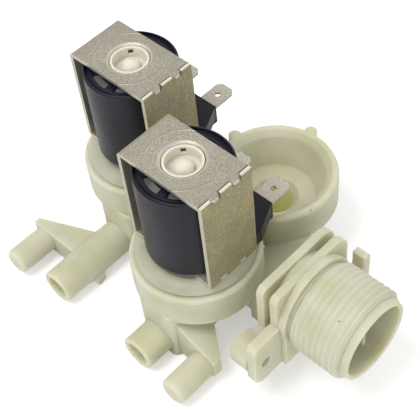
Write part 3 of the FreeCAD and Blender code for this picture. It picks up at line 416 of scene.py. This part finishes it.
plainLooks = {
    "coil_plastic": {  # over-moulding of the coils
        "light": (28, 28, 42), "deep": (20, 19, 30), "cloud": 140.0, "grain": 2400.0,
        "rough": (0.3, 0.44), "metal": 0.0, "bump": 0.25, "edge": 0.0003, "shine": 0.3,
    },
    "bobbin_plastic": {  # grey flange in its windows
        "light": (122, 122, 122), "deep": (92, 94, 88), "cloud": 160.0, "grain": 2000.0,
        "rough": (0.45, 0.6), "metal": 0.0, "bump": 0.15, "edge": 0.0003,
    },
    "rubber": {  # diaphragms, seals and the regulator's washer
        "light": (42, 42, 42), "deep": (28, 28, 28), "cloud": 200.0, "grain": 3000.0,
        "rough": (0.6, 0.8), "metal": 0.0, "bump": 0.3, "edge": 0.0002,
    },
    "terminal_metal": {  # tinned blades
        "light": (212, 207, 192), "deep": (184, 178, 162), "cloud": 1900.0, "grain": 1800.0,
        "rough": (0.38, 0.52), "metal": 0.5, "bump": 0.4, "edge": 0.0002,
    },
    "core_steel": {  # plungers and flux bushes
        "light": (190, 190, 192), "deep": (150, 150, 152), "cloud": 300.0, "grain": 2600.0,
        "rough": (0.28, 0.42), "metal": 0.9, "bump": 0.2, "edge": 0.0002,
    },
    "spring_steel": {  # return springs
        "light": (205, 205, 205), "deep": (165, 165, 165), "cloud": 400.0, "grain": 3000.0,
        "rough": (0.2, 0.35), "metal": 1.0, "bump": 0.1, "edge": 0.0001,
    },
    "copper_wire": {  # windings
        "light": (196, 112, 66), "deep": (150, 74, 40), "cloud": 400.0, "grain": 3400.0,
        "rough": (0.3, 0.45), "metal": 0.8, "bump": 0.5, "edge": 0.0002,
    },
    "filter_plastic": {  # strainer and the regulator's carrier
        "light": (222, 220, 202), "deep": (200, 198, 176), "cloud": 200.0, "grain": 2200.0,
        "rough": (0.4, 0.55), "metal": 0.0, "bump": 0.2, "edge": 0.0003,
    },
    "insert_plastic": {  # discs of the diaphragms
        "light": (226, 224, 214), "deep": (204, 202, 190), "cloud": 200.0, "grain": 2400.0,
        "rough": (0.4, 0.5), "metal": 0.0, "bump": 0.1, "edge": 0.0002,
    },
}


def plainMaterial(name, look):
    shader = Shader(name)
    cloud = shader.between(shader.noise(look["cloud"], 3.0), 0.35, 0.65)
    grain = shader.noise(look["grain"], 2.0, 0.6)
    colour = shader.mix(cloud, tone(*look["light"]), tone(*look["deep"]))
    rough = shader.between(grain, 0.3, 0.7, *look["rough"])
    normal = shader.bump(grain, look["bump"], grainDepth, shader.softEdge(look["edge"]))
    shader.principled.inputs["Specular IOR Level"].default_value = look.get("shine", 0.5)
    return shader.finish(Base_Color=colour, Roughness=rough, Normal=normal, Metallic=look["metal"])


materials = {slot: plainMaterial(slot, look) for slot, look in plainLooks.items()}
for slot, light, deep, scatter in (
    ("body_nylon", "light", "deep", "scatter"),
    ("thread_nylon", "light", "deep", "threadScatter"),
    ("guide_nylon", "coverShaded", "coverDeepShaded", "guideScatter"),
):
    materials[slot] = nylonMaterial(
        slot, nylonLook[light], nylonLook[deep], nylonLook[scatter], slot == "body_nylon",
    )
for unitName in unitAxis:
    for slot, make in (("yoke_steel", yokeSteelMaterial), ("passivated_steel", passivatedMaterial)):
        materials[slot + "_" + unitName] = make(slot + "_" + unitName, unitName)

slotOf = {part["node"]: part["material_slot"] for part in frame["record"]["subparts"]}


# The record's slot, apart from the covers' nylon with painted shade and light and the steels laid out
# on each unit
def materialFor(node):
    unit = node.split("_")[0]
    if node.endswith("guide_tube"):
        return materials["guide_nylon"]
    if slotOf[node] in ("yoke_steel", "passivated_steel"):
        return materials[slotOf[node] + "_" + unit]
    return materials[slotOf[node]]


for nodeName, nodeObject in frame["nodes"].items():
    nodeObject.data.materials.clear()
    nodeObject.data.materials.append(materialFor(nodeName))
print("materials made")


# Mesh of rings of points, given with the shape (rings, points, 3). Where it is closed the last ring
# joins the first, and otherwise both end rings are capped.
def ringMesh(name, points, closed, material):
    rings, steps = points.shape[:2]
    index = np.arange(rings * steps).reshape(rings, steps)
    here = index if closed else index[:-1]
    there = np.roll(index, -1, axis=0) if closed else index[1:]
    faces = np.stack([here, np.roll(here, -1, axis=1), np.roll(there, -1, axis=1), there], axis=-1)
    faces = faces.reshape(-1, 4).tolist()
    if not closed:
        faces += [index[0, ::-1].tolist(), index[-1].tolist()]
    mesh = bpy.data.meshes.new(name)
    mesh.from_pydata(points.reshape(-1, 3).tolist(), [], faces)
    mesh.polygons.foreach_set("use_smooth", np.full(len(mesh.polygons), True))
    mesh.materials.append(material)
    mesh.update()
    piece = bpy.data.objects.new(name, mesh)
    scene.collection.objects.link(piece)
    return piece


# Thread of the inlet

threadLook = {
    "pitch": 0.001814,
    "rootRadius": 0.01206,
    "crestRadius": 0.01322,
    "valley": 0.72,
    "roundness": 0.65,
    "sunk": 0.0002,
    "start": -0.0160,
    "end": -0.0002,
    "runOut": 0.0011,
    "stepsPerPitch": 16,
    "stepsRound": 120,
}


# Sleeve of the thread. At angle a and place x it stands at radius root + depth e(x) f(u), where
# u = x / pitch - a / 2 pi and f is a rounded wave between the valley's share and 1. e rises from 0 to 1
# over the run-out at both ends. Its inside is a plain cylinder sunk a little under the root.
def inletThread():
    look = threadLook
    start, end, valley = look["start"], look["end"], look["valley"]
    rings = int((end - start) / look["pitch"] * look["stepsPerPitch"])
    x = np.linspace(start, end, rings)[:, None]
    angle = np.linspace(0.0, 2 * math.pi, look["stepsRound"], endpoint=False)[None, :]
    wave = (0.5 + 0.5 * np.cos(2 * math.pi * x / look["pitch"] - angle)) ** look["roundness"]
    rise = np.clip(np.minimum(x - start, end - x) / look["runOut"], 0.0, 1.0)
    depth = look["crestRadius"] - look["rootRadius"]
    radius = look["rootRadius"] + depth * rise * (valley + (1 - valley) * wave)
    inside = np.full((2, look["stepsRound"]), look["rootRadius"] - look["sunk"])
    radius = np.concatenate([radius, inside])
    x = np.concatenate([x, [[end], [start]]]) + 0 * angle
    points = np.stack([x, radius * np.cos(angle), radius * np.sin(angle)], axis=-1)
    return ringMesh("inlet_thread_ridge", points, True, materials["thread_nylon"])


thread = inletThread()
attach(thread, "valve")
print("thread made")


# Return springs, attached to the plungers; the real ones go flat as the plungers rise

springLook = {
    "turns": 7,
    "coil": 0.0023,
    "wire": 0.00029,
    "stepsPerTurn": 32,
    "stepsRound": 8,
}


# Spring of round wire. At turn angle a the middle of the wire stands off the unit's axis by the coil's
# radius and has risen by the height times a / (2 pi turns). Around it lies the wire's circle, in the
# plane through the axis.
def returnSpring(unit):
    look = springLook
    turns, wire = look["turns"], look["wire"]
    low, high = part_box(unit + "_plunger_spring")
    turned = np.linspace(0.0, 2 * math.pi * turns, turns * look["stepsPerTurn"] + 1)[:, None]
    middle = np.linspace(low.z + wire, high.z - wire, len(turned))[:, None]
    angle = np.linspace(0.0, 2 * math.pi, look["stepsRound"], endpoint=False)[None, :]
    radius = look["coil"] + wire * np.cos(angle)
    x, y = unitAxis[unit]
    points = np.stack([
        x + radius * np.cos(turned),
        y + radius * np.sin(turned),
        middle - wire * np.sin(angle),
    ], axis=-1)
    spring = ringMesh(unit + "_return_spring", points, False, materials["spring_steel"])
    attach(spring, unit + "_plunger_group")
    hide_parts(unit + "_plunger_spring")
    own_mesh(spring)


for unitName in unitAxis:
    returnSpring(unitName)
print("springs made")


# Camera as solved on the edges of the photo, and the light

cameraLook = {
    "place": (0.07341, -0.11106, 0.21687),
    "azimuth": 49.055,
    "elevation": 51.021,
    "roll": -7.037,
    "focalPixels": 994.86,
    "imagePixels": 420,
    "sensor": 36.0,
    "nearest": 0.01,
}


def makeCamera():
    look = cameraLook
    azimuth, elevation, roll = (math.radians(look[key]) for key in ("azimuth", "elevation", "roll"))
    flat = math.cos(elevation)
    back = Vector((math.sin(azimuth) * flat, -math.cos(azimuth) * flat, math.sin(elevation)))
    right = Vector((math.cos(azimuth), math.sin(azimuth), 0.0))
    up = back.cross(right)
    turnedRight = right * math.cos(roll) + up * math.sin(roll)
    turnedUp = up * math.cos(roll) - right * math.sin(roll)
    matrix = Matrix((turnedRight, turnedUp, back)).transposed().to_4x4()
    matrix.translation = Vector(look["place"])
    data = bpy.data.cameras.new("camera")
    data.sensor_width = look["sensor"]
    data.lens = look["sensor"] * look["focalPixels"] / look["imagePixels"]
    data.clip_start = look["nearest"]
    camera = bpy.data.objects.new("camera", data)
    camera.matrix_world = matrix
    scene.collection.objects.link(camera)
    scene.camera = camera


makeCamera()

# Round soft lights, each set off from the aim in its direction
lightAim = (-0.05, 0.0, 0.0)
lightLook = {
    "key": {"direction": (-0.15, -0.4, 1.0), "size": 0.35, "distance": 0.8, "power": 2.9},
    "fill": {"direction": (0.9, -0.6, 0.45), "size": 0.6, "distance": 0.9, "power": 1.3},
    "rim": {"direction": (0.1, 0.9, 0.8), "size": 0.5, "distance": 0.9, "power": 0.9},
}


def makeLight(name, look):
    direction = Vector(look["direction"]).normalized()
    data = bpy.data.lights.new(name, "AREA")
    data.shape = "DISK"
    data.size = look["size"]
    data.energy = look["power"]
    light = bpy.data.objects.new(name, data)
    light.location = Vector(lightAim) + direction * look["distance"]
    light.rotation_euler = direction.to_track_quat("Z", "Y").to_euler()
    scene.collection.objects.link(light)


for lightName, look in lightLook.items():
    makeLight(lightName, look)

worldLook = {"strength": 0.64, "seen": 1.0, "colour": (1.0, 1.0, 1.0, 1.0)}


# Even light from all round, which the camera sees as plain white
def makeWorld():
    world = bpy.data.worlds.new("studio")
    world.use_nodes = True
    tree = world.node_tree
    background = tree.nodes["Background"]
    background.inputs["Color"].default_value = worldLook["colour"]
    path = tree.nodes.new("ShaderNodeLightPath")
    strength = tree.nodes.new("ShaderNodeMapRange")
    strength.inputs["To Min"].default_value = worldLook["strength"]
    strength.inputs["To Max"].default_value = worldLook["seen"]
    tree.links.new(path.outputs["Is Camera Ray"], strength.inputs["Value"])
    tree.links.new(strength.outputs["Result"], background.inputs["Strength"])
    scene.world = world


makeWorld()

floorLook = {"size": 3.0, "gap": 0.00002, "whiteness": 0.82, "glow": 0.35, "rough": 0.9}


# Flat square under the part: x and y run over +-size / 2, a hair under the feet
def makeFloor():
    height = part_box("valve_body")[0].z - floorLook["gap"]
    half = floorLook["size"] / 2
    corners = np.array([(-1, -1), (1, -1), (1, 1), (-1, 1)]) * half
    mesh = bpy.data.meshes.new("floor")
    mesh.from_pydata([(x, y, height) for x, y in corners.tolist()], [], [(0, 1, 2, 3)])
    shader = Shader("floor_white")
    faint = shader.between(shader.noise(6.0, 2.0), 0.3, 0.7)
    white = floorLook["whiteness"]
    colour = shader.mix(faint, (white, white, white, 1), (white * 1.01, white * 1.01, white, 1))
    shader.finish(Base_Color=colour, Roughness=floorLook["rough"])
    path = shader.add("ShaderNodeLightPath")
    glow = shader.times(path.outputs["Is Camera Ray"], floorLook["glow"])
    shader.finish(Emission_Color=(1, 1, 1, 1), Emission_Strength=glow)
    mesh.materials.append(shader.material)
    floor = bpy.data.objects.new("floor", mesh)
    scene.collection.objects.link(floor)


makeFloor()
print("stage made")
